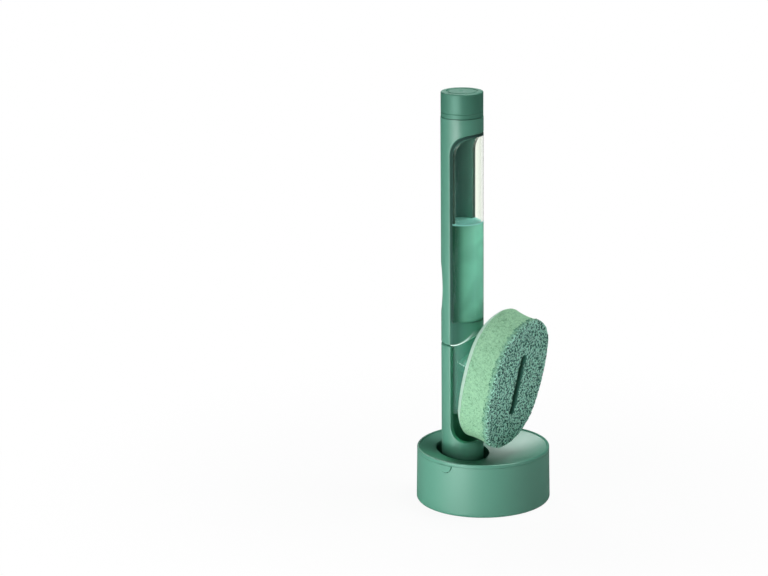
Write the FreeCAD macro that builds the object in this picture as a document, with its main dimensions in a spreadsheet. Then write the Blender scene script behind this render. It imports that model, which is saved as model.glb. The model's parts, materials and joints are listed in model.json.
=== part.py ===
"""A soap-filled dish wand standing in its drain stand.

Millimetres, +Z up. The origin is the centre of the stand's underside, and the
scrub pad faces -Y. The handle and the stand's post share one upright axis,
which lies behind the centre of the stand.
"""
import FreeCAD, Part
import Sketcher
import math
import operator
import os

doc = FreeCAD.newDocument("dish_wand")
sheet = doc.addObject("Spreadsheet::Sheet", "Sizes")

DRIVING_SIZES = [
    # Handle and post, one continuous round form
    ("handle_radius", 16.0, "outside of the handle, the bottle front and the post"),
    ("shell_wall", 3.2, "wall of the handle shell and of the post"),
    ("axis_offset", 19.0, "handle axis behind the centre of the stand"),
    ("post_rise", 19.15, "top of the post above the centre of the head's face"),
    ("split_gap", 0.5, "between the post and the handle shell that rests on it"),
    ("split_chamfer", 0.9, "chamfer on both sides of that split"),
    ("arch_drop", 27.5, "from the shell's top to where the window's sides turn into its arch"),
    ("arch_radius", 16.0, "arch of the window seen from the side"),
    ("edge_round", 0.8, "rounding of the outer edges of the window and of the open front"),
    ("cut_overrun", 2.0, "how far every cutting shape runs past what it cuts"),
    # Thumb scoop in the back of the handle shell
    ("scoop_rise", 43.65, "middle of the thumb scoop above the top of the post"),
    ("scoop_half_length", 24.0, "half the length of the thumb scoop"),
    ("scoop_half_width", 13.4, "half the width of the thumb scoop"),
    ("scoop_end_radius", 12.5, "rounding of the thumb scoop's ends"),
    ("scoop_depth", 2.4, "depth of the thumb scoop in its middle"),
    ("scoop_floor_radius", 20.0, "crosswise curve of the thumb scoop's floor"),
    # Clear soap bottle
    ("bottle_gap", 0.2, "between the bottle and the shell that it slides into"),
    ("bottle_wall", 1.4, "wall of the bottle behind the shell"),
    ("front_wall", 1.6, "wall of the bottle's clear front"),
    ("bottle_floor", 2.4, "thickness of the bottle's floor"),
    ("bottle_floor_round", 3.0, "rounding inside the bottle's floor"),
    ("toe_radius", 16.0, "round toe of the bottle's clear front, seen from the side"),
    ("toe_overlap", 0.25, "from the top of that toe down to the underside of the bottle's floor"),
    ("mouth_gap", 0.25, "between the bottle's mouth and the cap's seal"),
    ("spigot_radius", 7.2, "outside of the outlet under the bottle"),
    ("spigot_bore", 4.4, "radius of the outlet's bore"),
    ("spigot_length", 5.0, "length of the outlet under the floor"),
    ("soap_gap", 0.1, "between the soap and the walls round it"),
    # Screw cap
    ("cap_radius", 15.8, "outside of the cap"),
    ("cap_foot_gap", 0.4, "between the cap and the handle shell"),
    ("cap_top", 311.4, "top of the cap"),
    ("cap_height", 18.9, "from the handle shell's top to the top of the cap"),
    ("cap_roof", 2.6, "thickness of the cap's roof"),
    ("cap_edge", 0.9, "rounding of the cap's top edge"),
    ("cap_thread_gap", 1.3, "between the cap's skirt and the bottle's neck"),
    ("cap_ring_radius", 11.0, "radius of the ring groove in the cap's top"),
    ("cap_ring_width", 1.8, "width of that groove"),
    ("cap_ring_depth", 0.7, "depth of that groove"),
    ("cap_dimple_radius", 2.6, "radius of the moulding dimple in the middle of the top"),
    ("cap_dimple_depth", 0.6, "depth of that dimple"),
    ("cap_line_height", 3.4, "height of the fine line round the cap above its foot"),
    ("cap_line_width", 0.6, "width of that line"),
    ("cap_line_depth", 0.3, "depth of that line"),
    ("seal_thickness", 1.7, "thickness of the cap's seal"),
    ("seal_gap", 0.05, "between the seal and the cap's roof"),
    # Clear scrub head: upright neck, throat, dome and oval flange
    ("neck_radius", 12.4, "outside of the neck that drops into the post"),
    ("neck_bore", 8.6, "radius of the neck's soap channel"),
    ("neck_drop", 34.2, "underside of the neck below the centre of the head's face"),
    ("neck_foot_wall", 2.5, "closed bottom of the neck"),
    ("neck_head_gap", 0.3, "between the neck and the bottle's floor"),
    ("ring_section", 0.65, "radius of the sealing ring's section"),
    ("ring_drop", 2.4, "middle of the sealing ring below the bottle's floor"),
    ("pad_reach", 24.4, "centre of the head's face in front of the handle axis"),
    ("pad_height", 100.2, "height of the centre of the head's face"),
    ("pad_tilt", 13.6, "lean of the head's face, in degrees"),
    ("flange_half_length", 46.0, "half the length of the head's oval flange"),
    ("flange_half_width", 30.0, "half its width"),
    ("flange_end_radius", 28.0, "radius of its ends"),
    ("flange_thickness", 2.2, "thickness of the flange"),
    ("dome_inset", 4.0, "from the flange's edge in to the dome"),
    ("dome_depth", 9.6, "depth of the dome behind the head's face"),
    ("dome_slope", 38.0, "slope of the dome's sides, in degrees"),
    ("dome_wall", 2.0, "wall of the dome"),
    ("dome_round", 4.0, "rounding of the dome's back edge"),
    ("throat_radius", 12.0, "outside of the throat from the neck to the head's face"),
    ("throat_bore", 6.2, "radius of the throat's channel"),
    ("valve_seat_radius", 9.6, "radius of the seat for the valve and its ring"),
    ("valve_seat_depth", 4.0, "depth of that seat"),
    ("valve_gap", 0.2, "between the valve, its ring and the seat"),
    ("valve_flange", 1.6, "thickness of the valve's flange"),
    ("valve_lip_radius", 5.4, "radius of the valve's lip at its root"),
    ("valve_lip_tip", 2.2, "radius of the valve's lip at its tip"),
    ("valve_lip_length", 5.6, "length of the valve's lip"),
    ("valve_skin", 1.1, "wall of the valve's lip"),
    ("valve_ring_bore", 6.6, "bore of the ring that holds the valve"),
    ("valve_ring_thickness", 1.8, "thickness of that ring"),
    # Refill pad: plate, foam and scrub layer
    ("plate_gap", 0.3, "between the refill plate and the head's face"),
    ("plate_thickness", 1.6, "thickness of the refill plate"),
    ("plate_inset", 1.4, "how far the plate's edge lies inside the foam's"),
    ("plate_hole", 8.5, "radius of the plate's hole for the valve"),
    ("lip_gap", 0.3, "between the plate's lip and the head's flange"),
    ("lip_wall", 1.8, "thickness of the lip round the flange"),
    ("lip_height", 2.6, "height of that lip"),
    ("pad_half_length", 52.2, "half the length of the pad"),
    ("pad_half_width", 35.2, "half the width of the pad"),
    ("pad_end_radius", 33.2, "radius of the pad's ends"),
    ("foam_thickness", 20.6, "thickness of the foam"),
    ("foam_flare", 0.3, "how far the foam's back stands out past its front"),
    ("foam_waist", 0.7, "how far the foam's side draws in at half its thickness"),
    ("soap_well_radius", 9.0, "radius of the well in the foam behind the valve"),
    ("soap_well_depth", 6.0, "depth of that well"),
    ("scrub_thickness", 4.5, "thickness of the scrub layer"),
    ("scrub_edge", 2.0, "rounding of the scrub layer's front edge"),
    ("slot_length", 50.0, "length of the soap slot through the pad"),
    ("slot_width", 6.6, "width of the soap slot"),
    # Stand: cup, post foot and drain tray
    ("cup_radius", 50.1, "outside of the cup at its rim"),
    ("cup_flare", 0.6, "how much wider the cup is at its foot"),
    ("cup_height", 38.5, "height of the cup's rim"),
    ("cup_wall", 2.4, "wall of the cup"),
    ("cup_floor", 3.0, "thickness of the cup's floor"),
    ("cup_edge", 2.2, "rounding of the cup's foot"),
    ("cup_corner", 4.0, "rounding inside the cup's floor"),
    ("foot_ring_width", 6.0, "width of the ring that the cup stands on"),
    ("foot_recess", 1.0, "depth of the recess inside that ring"),
    ("boss_wall", 2.6, "wall of the boss that the post fits over"),
    ("boss_height", 9.0, "height of that boss"),
    ("boss_gap", 0.15, "between the boss and the post"),
    ("bend_radius", 13.2, "round lower end of the post's open front, seen from the side"),
    ("bend_low", 43.7, "lowest point of that open front"),
    ("pad_post_gap", 4.0, "least drop from the pad's plate to that lowest point"),
    ("tray_seat_gap", 0.2, "between the tray's rim and the cup's rim"),
    ("tray_rim", 2.6, "thickness of the tray's rim"),
    ("tray_rim_width", 1.5, "width of the tray's rim"),
    ("tray_rim_round", 0.8, "rounding of the rim's outer edge"),
    ("tray_sheet", 2.0, "thickness of the tray's bowl"),
    ("tray_fall", 1.0, "drop from the rim's top to the bowl"),
    ("tray_step", 0.5, "slope of the rim's inside"),
    ("bowl_depth", 9.8, "depth of the bowl below its edge"),
    ("pad_bowl_gap", 6.0, "least drop from the pad's low edge to the bowl's bottom"),
    ("collar_gap", 0.4, "between the tray's collar and the cup's wall"),
    ("collar_wall", 1.8, "wall of the collar"),
    ("collar_length", 6.0, "length of the collar below the rim"),
    ("tray_hole", 20.4, "radius of the tray's hole round the post"),
    ("tab_radius", 5.5, "radius of the half-round lift tab"),
    ("tab_proud", 0.6, "how far the tab stands out of the cup's wall"),
    ("tab_gap", 0.3, "between the tab and its notch in the cup"),
]


class Length:
    """A size that carries its number and its formula in the sheet through sums."""

    def __init__(self, number, formula):
        self.number = number
        self.formula = formula

    def joined(self, other, sign, work, swapped=False):
        if not isinstance(other, Length):
            other = Length(other, repr(other))
        first, second = (other, self) if swapped else (self, other)
        return Length(work(first.number, second.number), f"({first.formula} {sign} {second.formula})")

    def __add__(self, other):
        return self.joined(other, "+", operator.add)

    def __sub__(self, other):
        return self.joined(other, "-", operator.sub)

    def __mul__(self, other):
        return self.joined(other, "*", operator.mul)

    def __rmul__(self, other):
        return self.joined(other, "*", operator.mul, swapped=True)

    def __truediv__(self, other):
        return self.joined(other, "/", operator.truediv)

    def __neg__(self):
        return Length(-self.number, f"(-{self.formula})")


class SheetSizes:
    """The sheet's cells as attributes."""


size = SheetSizes()
for row, (alias, number, meaning) in enumerate(DRIVING_SIZES, start=1):
    sheet.set(f"A{row}", alias)
    sheet.set(f"B{row}", str(number))
    sheet.set(f"C{row}", meaning)
    sheet.setAlias(f"B{row}", alias)
    setattr(size, alias, Length(number, f"Sizes.{alias}"))
doc.recompute()
ZERO = Length(0.0, "0")
ALIGNED = 1e-6


# Helpers for sketches and features

def bind(piece, path, length):
    """Tie one property of a piece to the sheet."""
    piece.setExpression(path, length.formula)


def place(piece, y=ZERO, z=ZERO, turn=None):
    """Put a piece in the frame, turned about X where it leans with the pad."""
    rotation = FreeCAD.Rotation(FreeCAD.Vector(1, 0, 0), turn.number if turn else 0)
    piece.Placement = FreeCAD.Placement(FreeCAD.Vector(0, y.number, z.number), rotation)
    bind(piece, "Placement.Base.y", y)
    bind(piece, "Placement.Base.z", z)
    if turn:
        bind(piece, "Placement.Rotation.Angle", turn)
    return piece


def on_axis(piece, z=ZERO):
    """On the upright axis of the handle and the post."""
    return place(piece, size.axis_offset, z)


def on_head(piece):
    """On the head's leaning face: local Y runs up the pad, local Z out of it."""
    return place(piece, size.axis_offset - size.pad_reach, size.pad_height, size.pad_tilt + 90.0)


def new_body(name, placing=place):
    return placing(doc.addObject("PartDesign::Body", name))


def new_sketch(body, name, plane, raised=None):
    sketch = body.newObject("Sketcher::SketchObject", name)
    support = [item for item in body.Origin.OriginFeatures if item.Role == plane]
    sketch.AttachmentSupport = [(support[0], "")]
    sketch.MapMode = "FlatFace"
    if raised:
        sketch.AttachmentOffset = FreeCAD.Placement(FreeCAD.Vector(0, 0, raised.number), FreeCAD.Rotation())
        bind(sketch, "AttachmentOffset.Base.z", raised)
    return sketch


def fix_point(sketch, edge, end, x, y):
    """Hold a point of the sketch at its two distances from the origin."""
    for kind, length, axis in (("DistanceX", x, -2), ("DistanceY", y, -1)):
        if length.number == 0:
            sketch.addConstraint(Sketcher.Constraint("PointOnObject", edge, end, axis))
            continue
        if length.number > 0:
            held, distance = (-1, 1, edge, end), length
        else:
            held, distance = (edge, end, -1, 1), -length
        index = sketch.addConstraint(Sketcher.Constraint(kind, *held, distance.number))
        bind(sketch, f"Constraints[{index}]", distance)


def fix_radius(sketch, edge, radius):
    index = sketch.addConstraint(Sketcher.Constraint("Radius", edge, radius.number))
    bind(sketch, f"Constraints[{index}]", radius)


def arc_between(start, end, radius, left_turn):
    """The shorter arc of a radius from start to end, always drawn anticlockwise."""
    chord = end - start
    half = chord.Length / 2
    rise = math.sqrt(max(radius ** 2 - half ** 2, 0))
    normal = FreeCAD.Vector(-chord.y, chord.x, 0).normalize()
    centre = (start + end) / 2 + normal * (rise if left_turn else -rise)
    first, last = (start, end) if left_turn else (end, start)
    angles = [math.atan2(point.y - centre.y, point.x - centre.x) for point in (first, last)]
    circle = Part.Circle(centre, FreeCAD.Vector(0, 0, 1), radius)
    last = angles[1] if angles[1] > angles[0] else angles[1] + 2 * math.pi
    return Part.ArcOfCircle(circle, angles[0], last)


def outline(body, name, plane, corners, raised=None):
    """A closed sketch. A corner is (x, y), or (x, y, radius, "left" or "right") where
    an arc of that turn leads to the next corner."""
    sketch = new_sketch(body, name, plane, raised)
    points = [FreeCAD.Vector(corner[0].number, corner[1].number, 0) for corner in corners]
    edges = []
    for index, corner in enumerate(corners):
        start, end = points[index], points[(index + 1) % len(points)]
        if len(corner) == 2:
            edges.append((sketch.addGeometry(Part.LineSegment(start, end)), 1, 2))
        else:
            left_turn = corner[3] == "left"
            edge = sketch.addGeometry(arc_between(start, end, corner[2].number, left_turn))
            edges.append((edge, 1, 2) if left_turn else (edge, 2, 1))
    for index, corner in enumerate(corners):
        edge, start, _ = edges[index]
        previous, _, end = edges[index - 1]
        sketch.addConstraint(Sketcher.Constraint("Coincident", previous, end, edge, start))
        fix_point(sketch, edge, start, corner[0], corner[1])
        if len(corner) > 2:
            fix_radius(sketch, edge, corner[2])
    return sketch


def disc(body, name, plane, radius, y=ZERO, raised=None, hole=None):
    """A round sketch, or a ring where it has a hole, centred at a height y of the sketch."""
    sketch = new_sketch(body, name, plane, raised)
    for circle_radius in (radius, hole):
        if circle_radius:
            centre = FreeCAD.Vector(0, y.number, 0)
            edge = sketch.addGeometry(Part.Circle(centre, FreeCAD.Vector(0, 0, 1), circle_radius.number))
            fix_point(sketch, edge, 3, ZERO, y)
            fix_radius(sketch, edge, circle_radius)
    return sketch


def oval(half_length, half_width, end_radius, middle=ZERO):
    """Corners of an oval of two round ends and two slightly bowed sides, all tangent."""
    end_centre = half_length - end_radius
    bow = (half_width * half_width + end_centre * end_centre - end_radius * end_radius) / (
        2.0 * (half_width - end_radius))
    x = end_radius * (bow - half_width) / (bow - end_radius)
    y = end_centre * bow / (bow - end_radius)
    return [
        (x, middle - y, bow, "left"),
        (x, middle + y, end_radius, "left"),
        (-x, middle + y, bow, "left"),
        (-x, middle - y, end_radius, "left"),
    ]


def slot_corners(length, width):
    """Corners of a slot with straight sides and ends rounded in two quarter arcs."""
    half_width = width / 2.0
    reach = length / 2.0
    straight = reach - half_width
    return [
        (half_width, -straight),
        (half_width, straight, half_width, "left"),
        (ZERO, reach, half_width, "left"),
        (-half_width, straight),
        (-half_width, -straight, half_width, "left"),
        (ZERO, -reach, half_width, "left"),
    ]


def dish_curve(half_width, depth):
    """Radius of the arc that dips by a depth over twice a half width."""
    return (half_width * half_width + depth * depth) / (2.0 * depth)


def feature(body, kind, name, sketch, **bound):
    """A sketched feature; the sizes given by property name are tied to the sheet."""
    made = body.newObject(f"PartDesign::{kind}", name)
    made.Profile = sketch
    for path, length in bound.items():
        bind(made, path, length)
    return made


def turned(body, name, corners, cut=False):
    """A full turn about the body's own upright axis."""
    sketch = outline(body, f"{name}_profile", "XZ_Plane", corners)
    made = feature(body, "Groove" if cut else "Revolution", name, sketch)
    made.ReferenceAxis = (sketch, ["V_Axis"])
    made.Angle = 360
    return made


def pierce(body, name, sketch):
    """A pocket through everything on both sides of its sketch."""
    made = feature(body, "Pocket", name, sketch)
    made.Type = "ThroughAll"
    made.SideType = "Symmetric"
    return made


def round_end(body, name, base, radius, lowest=False):
    """Round the edge of a feature's end face, the topmost one along the body's own Z."""
    doc.recompute()
    heights = [face.CenterOfMass.z for face in base.Shape.Faces]
    end = heights.index(min(heights) if lowest else max(heights)) + 1
    made = body.newObject("PartDesign::Fillet", name)
    made.Base = (base, [f"Face{end}"])
    bind(made, "Radius", radius)
    return made


def runs_along(surface, direction):
    """Whether a face is part of a cylinder along a direction."""
    return isinstance(surface, Part.Cylinder) and surface.Axis.cross(direction).Length < ALIGNED


def round_opening(body, name, base, radius):
    """Round the outer edge of an opening cut from side to side through an upright round wall.
    The edge is found at the opening's arched end, and its straight sides run on from there."""
    doc.recompute()
    arches = []
    for index, edge in enumerate(base.Shape.Edges, start=1):
        surfaces = [face.Surface for face in base.Shape.ancestorsOfType(edge, Part.Face)]
        walls = [item for item in surfaces if runs_along(item, FreeCAD.Vector(0, 0, 1))]
        cuts = [item for item in surfaces if runs_along(item, FreeCAD.Vector(1, 0, 0))]
        if walls and cuts:
            arches.append((walls[0].Radius, f"Edge{index}"))
    outside = max(wall_radius for wall_radius, _ in arches)
    made = body.newObject("PartDesign::Fillet", name)
    made.Base = (base, [edge for wall_radius, edge in arches if math.isclose(wall_radius, outside)])
    bind(made, "Radius", radius)
    return made


def boolean(kind, name, base, tool):
    made = doc.addObject(f"Part::{kind}", name)
    made.Base = base
    made.Tool = tool
    return made


def cylinder(name, radius, length, placing):
    made = placing(doc.addObject("Part::Cylinder", name))
    bind(made, "Radius", radius)
    bind(made, "Height", length)
    return made


# Sizes that follow from the driving ones

shell_bore = size.handle_radius - size.shell_wall
post_top = size.pad_height + size.post_rise
shell_foot = post_top + size.split_gap
scoop_middle = post_top + size.scoop_rise
shell_top = size.cap_top - size.cap_height
arch_start = shell_top - size.arch_drop
cap_ceiling = size.cap_top - size.cap_roof
seal_foot = cap_ceiling - size.seal_gap - size.seal_thickness
tube_radius = shell_bore - size.bottle_gap
tube_bore = tube_radius - size.bottle_wall
bottle_mouth = seal_foot - size.mouth_gap
bottle_floor_under = shell_foot + size.toe_radius - size.toe_overlap
floor_top = bottle_floor_under + size.bottle_floor
soap_share = 0.442
soap_level = floor_top + (bottle_mouth - floor_top) * soap_share
neck_foot = size.pad_height - size.neck_drop
past_handle = size.handle_radius + size.cut_overrun
foot_radius = size.cup_radius + size.cup_flare
tray_seat = size.cup_height + size.tray_seat_gap
plate_top = size.plate_gap + size.plate_thickness
foam_top = plate_top + size.foam_thickness


def lower_of(first, second):
    """The smaller of two sizes."""
    return Length(min(first.number, second.number), f"min({first.formula}; {second.formula})")


def upright(length):
    """How far a length along the tilted pad reaches down."""
    share = math.cos(math.radians(size.pad_tilt.number))
    return length * Length(share, f"cos({size.pad_tilt.formula} * 1 deg)")


def leaning(length):
    """How far a length out of the tilted pad's face reaches down."""
    share = math.sin(math.radians(size.pad_tilt.number))
    return length * Length(share, f"sin({size.pad_tilt.formula} * 1 deg)")


pad_low = size.pad_height - upright(size.pad_half_length) - leaning(foam_top + size.scrub_thickness)
plate_low = size.pad_height - upright(size.pad_half_length + size.foam_flare) - leaning(plate_top)
open_front_low = lower_of(size.bend_low, plate_low - size.pad_post_gap)

nodes = []


# Cup of the stand: a plain round dish that catches the drips

cup = new_body("cup_body")
inner_foot_radius = foot_radius - size.cup_wall
recess_radius = foot_radius - size.cup_edge - size.foot_ring_width
turned(cup, "cup_turning", [
    (ZERO, size.foot_recess),
    (recess_radius, size.foot_recess),
    (recess_radius, ZERO),
    (foot_radius - size.cup_edge, ZERO, size.cup_edge, "left"),
    (foot_radius, size.cup_edge),
    (size.cup_radius, size.cup_height),
    (size.cup_radius - size.cup_wall, size.cup_height),
    (inner_foot_radius, size.cup_floor + size.cup_corner, size.cup_corner, "right"),
    (inner_foot_radius - size.cup_corner, size.cup_floor),
    (ZERO, size.cup_floor),
])
boss_radius = shell_bore - size.boss_gap
boss_ring = disc(cup, "boss_ring", "XY_Plane", boss_radius, size.axis_offset, size.cup_floor,
                 boss_radius - size.boss_wall)
feature(cup, "Pad", "post_boss", boss_ring, Length=size.boss_height)
notch_radius = size.tab_radius + size.tab_gap
notch = outline(cup, "notch_outline", "YZ_Plane", [
    (notch_radius, size.cup_height + size.cut_overrun),
    (-notch_radius, size.cup_height + size.cut_overrun),
    (-notch_radius, size.cup_height, notch_radius, "left"),
    (ZERO, size.cup_height - notch_radius, notch_radius, "left"),
    (notch_radius, size.cup_height),
])
feature(cup, "Pocket", "tab_notch", notch, Length=foot_radius + size.cut_overrun)
nodes.append(("stand_cup", cup))


# Post of the stand: a tube whose front is cut away to let the wand drop in

post = new_body("post_body", on_axis)
turned(post, "post_turning", [
    (shell_bore, size.cup_floor),
    (size.handle_radius, size.cup_floor),
    (size.handle_radius, post_top - size.split_chamfer),
    (size.handle_radius - size.split_chamfer, post_top),
    (shell_bore, post_top),
])
open_front = outline(post, "open_front", "YZ_Plane", [
    (ZERO, post_top + size.cut_overrun),
    (-past_handle, post_top + size.cut_overrun),
    (-past_handle, open_front_low),
    (-size.bend_radius, open_front_low, size.bend_radius, "left"),
    (ZERO, open_front_low + size.bend_radius),
])
round_opening(post, "post_opening_rounding", pierce(post, "post_opening", open_front), size.edge_round)
nodes.append(("holder_post", post))


# Drain tray: a shallow bowl that hangs in the cup, with a lift tab on its rim

tray = new_body("tray_body")
tray_top = tray_seat + size.tray_rim
bowl_edge = tray_top - size.tray_fall
bowl_radius = size.cup_radius - size.tray_rim_width - size.tray_step
bowl_low = lower_of(bowl_edge - size.bowl_depth, pad_low - size.pad_bowl_gap)
bowl_fall = bowl_edge - bowl_low
bowl_curve = (bowl_radius * bowl_radius + bowl_fall * bowl_fall) / (2.0 * bowl_fall)
collar_radius = size.cup_radius - size.cup_wall - size.collar_gap
collar_bore = collar_radius - size.collar_wall
under_fall = bowl_fall * collar_bore * collar_bore / (bowl_radius * bowl_radius)
under_curve = (collar_bore * collar_bore + under_fall * under_fall) / (2.0 * under_fall)
turned(tray, "tray_turning", [
    (ZERO, bowl_low - size.tray_sheet, under_curve, "left"),
    (collar_bore, bowl_low + under_fall - size.tray_sheet),
    (collar_bore, tray_seat - size.collar_length),
    (collar_radius, tray_seat - size.collar_length),
    (collar_radius, tray_seat),
    (size.cup_radius, tray_seat),
    (size.cup_radius, tray_top - size.tray_rim_round, size.tray_rim_round, "left"),
    (size.cup_radius - size.tray_rim_round, tray_top),
    (size.cup_radius - size.tray_rim_width, tray_top),
    (bowl_radius, bowl_edge, bowl_curve, "right"),
    (ZERO, bowl_low),
])
pierce(tray, "post_hole", disc(tray, "post_hole_outline", "XY_Plane", size.tray_hole, size.axis_offset))
tab_face = size.cup_radius + size.tab_proud
tab = outline(tray, "tab_outline", "YZ_Plane", [
    (-size.tab_radius, tray_seat, size.tab_radius, "left"),
    (ZERO, tray_seat - size.tab_radius, size.tab_radius, "left"),
    (size.tab_radius, tray_seat),
], raised=-tab_face)
feature(tray, "Pad", "lift_tab", tab, Length=tab_face - (collar_radius + collar_bore) / 2.0)
nodes.append(("drain_tray", tray))


# Handle shell: a tube at its top, a half tube below, with a thumb scoop in its back

def window_reach(gap):
    """How far in front of the axis the side view of the open front runs."""
    return past_handle + gap


def window_corners(gap, foot):
    """Side view of the shell's open front, drawn in by a gap on its back and top."""
    arch = size.arch_radius
    return foot + [
        (-window_reach(gap), arch_start + arch - gap),
        (-arch - gap, arch_start + arch - gap, arch, "right"),
        (-gap, arch_start - gap),
    ]


shell = new_body("shell_body", on_axis)
turned(shell, "shell_turning", [
    (shell_bore, shell_foot),
    (size.handle_radius - size.split_chamfer, shell_foot),
    (size.handle_radius, shell_foot + size.split_chamfer),
    (size.handle_radius, shell_top),
    (shell_bore, shell_top),
])
window_foot = shell_foot - size.cut_overrun
window = outline(shell, "window_outline", "YZ_Plane", window_corners(ZERO, [
    (ZERO, window_foot),
    (-window_reach(ZERO), window_foot),
]))
round_opening(shell, "window_rounding", pierce(shell, "shell_window", window), size.edge_round)

scoop = new_body("scoop_body", on_axis)
scoop_outline = outline(scoop, "scoop_outline", "XZ_Plane", oval(
    size.scoop_half_length, size.scoop_half_width, size.scoop_end_radius, scoop_middle))
feature(scoop, "Pad", "scoop_block", scoop_outline, Length=past_handle).Reversed = True
scoop_back = size.handle_radius - size.scoop_depth - size.scoop_floor_radius
floor_disc = disc(scoop, "scoop_floor_outline", "XY_Plane", size.scoop_floor_radius, scoop_back)
pierce(scoop, "scoop_floor", floor_disc)
handle = boolean("Cut", "handle_with_scoop", shell, scoop)
nodes.append(("handle_shell", handle))


# Soap bottle: a clear tube behind the shell that swells into a front flush with it

tube = new_body("tube_body", on_axis)
spigot_foot = bottle_floor_under - size.spigot_length
turned(tube, "tube_turning", [
    (size.spigot_bore, spigot_foot),
    (size.spigot_radius, spigot_foot),
    (size.spigot_radius, bottle_floor_under),
    (tube_radius, bottle_floor_under),
    (tube_radius, bottle_mouth),
    (tube_bore, bottle_mouth),
    (tube_bore, floor_top + size.bottle_floor_round, size.bottle_floor_round, "right"),
    (tube_bore - size.bottle_floor_round, floor_top),
    (size.spigot_bore, floor_top),
])
front = new_body("front_body", on_axis)
socket_radius = size.neck_radius + size.bottle_gap
front_foot = shell_foot - size.cut_overrun
turned(front, "front_turning", [
    (socket_radius, front_foot),
    (size.handle_radius, front_foot),
    (size.handle_radius, shell_top),
    (tube_bore + size.bottle_wall / 2.0, shell_top),
    (tube_bore + size.bottle_wall / 2.0, bottle_floor_under),
    (socket_radius, bottle_floor_under),
])
front_block = new_body("front_block_body", on_axis)
toe_side = -size.bottle_gap - size.toe_radius
front_outline = outline(front_block, "front_outline", "YZ_Plane", window_corners(size.bottle_gap, [
    (-size.bottle_gap, shell_foot, size.toe_radius, "right"),
    (toe_side, shell_foot + size.toe_radius),
    (-window_reach(size.bottle_gap), shell_foot + size.toe_radius),
]))
front_width = 2.0 * past_handle
feature(front_block, "Pad", "front_block", front_outline, Length=front_width).SideType = "Symmetric"
clear_front = boolean("Common", "clear_front", front, front_block)
bottle_solid = boolean("Fuse", "bottle_solid", tube, clear_front)


def front_room(name, gap, top):
    """The room inside the bottle's clear front, up to a height and drawn in by a gap."""
    room = new_body(f"{name}_body", on_axis)
    radius = size.handle_radius - size.front_wall - gap
    floor = floor_top + gap
    turned(room, f"{name}_turning", [
        (ZERO, floor),
        (radius - size.bottle_floor_round, floor, size.bottle_floor_round, "left"),
        (radius, floor + size.bottle_floor_round),
        (radius, top),
        (ZERO, top),
    ])
    block = new_body(f"{name}_block_body", on_axis)
    inset = size.bottle_gap + size.front_wall + gap
    side_view = outline(block, f"{name}_side_view", "YZ_Plane", window_corners(inset, [
        (-inset, window_foot),
        (-window_reach(inset), window_foot),
    ]))
    feature(block, "Pad", f"{name}_block", side_view, Length=front_width).SideType = "Symmetric"
    return boolean("Common", name, room, block)


bottle = boolean("Cut", "bottle", bottle_solid, front_room("front_hollow", ZERO, shell_top))
nodes.append(("soap_bottle", bottle))


# Soap: what the bottle, its outlet and the neck hold

soap = new_body("soap_body", on_axis)
soap_radius = tube_bore - size.soap_gap
soap_floor = floor_top + size.soap_gap
soap_round = size.bottle_floor_round
neck_floor = neck_foot + size.neck_foot_wall
outlet_radius = size.spigot_bore - size.soap_gap
column_radius = size.neck_bore - size.soap_gap
column_top = spigot_foot - size.soap_gap
turned(soap, "soap_turning", [
    (ZERO, neck_floor + size.soap_gap),
    (column_radius, neck_floor + size.soap_gap),
    (column_radius, column_top),
    (outlet_radius, column_top),
    (outlet_radius, soap_floor),
    (soap_radius - soap_round, soap_floor, soap_round, "left"),
    (soap_radius, soap_floor + soap_round),
    (soap_radius, soap_level),
    (ZERO, soap_level),
])
soap_front = front_room("soap_front", size.soap_gap, soap_level)
nodes.append(("soap", boolean("Fuse", "soap_fill", soap, soap_front)))


# Screw cap with a plain ring groove in its top, and the soft seal under its roof

cap = new_body("cap_body", on_axis)
cap_foot = shell_top + size.cap_foot_gap
cap_bore = tube_radius + size.cap_thread_gap
half_ring = size.cap_ring_width / 2.0
half_line = size.cap_line_width / 2.0
line_middle = cap_foot + size.cap_line_height
turned(cap, "cap_turning", [
    (ZERO, cap_ceiling),
    (cap_bore, cap_ceiling),
    (cap_bore, cap_foot),
    (size.cap_radius, cap_foot),
    (size.cap_radius, line_middle - half_line),
    (size.cap_radius - size.cap_line_depth, line_middle),
    (size.cap_radius, line_middle + half_line),
    (size.cap_radius, size.cap_top - size.cap_edge, size.cap_edge, "left"),
    (size.cap_radius - size.cap_edge, size.cap_top),
    (size.cap_ring_radius + half_ring, size.cap_top, dish_curve(half_ring, size.cap_ring_depth), "right"),
    (size.cap_ring_radius - half_ring, size.cap_top),
    (size.cap_dimple_radius, size.cap_top,
     dish_curve(size.cap_dimple_radius, size.cap_dimple_depth), "right"),
    (ZERO, size.cap_top - size.cap_dimple_depth),
])
nodes.append(("cap", cap))

seal = cylinder("seal_disc", cap_bore - size.cap_thread_gap, size.seal_thickness,
                lambda piece: on_axis(piece, seal_foot))
nodes.append(("cap_seal", seal))


# Scrub head: a clear neck, a throat and an oval dome in one moulding

neck_top = bottle_floor_under - size.neck_head_gap
neck = cylinder("neck", size.neck_radius, neck_top - neck_foot,
                lambda piece: on_axis(piece, neck_foot))
neck_bore = cylinder("neck_channel", size.neck_bore, neck_top + size.cut_overrun - neck_floor,
                     lambda piece: on_axis(piece, neck_floor))

dome = new_body("dome_body", on_head)
feature(dome, "Pad", "head_flange", outline(dome, "head_flange_outline", "XY_Plane", oval(
    size.flange_half_length, size.flange_half_width, size.flange_end_radius)),
    Length=size.flange_thickness).Reversed = True


def dome_oval(inset):
    """The dome's edge on the flange, drawn in by an inset."""
    drawn_in = size.dome_inset + inset
    return oval(size.flange_half_length - drawn_in, size.flange_half_width - drawn_in,
                size.flange_end_radius - drawn_in)


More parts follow.
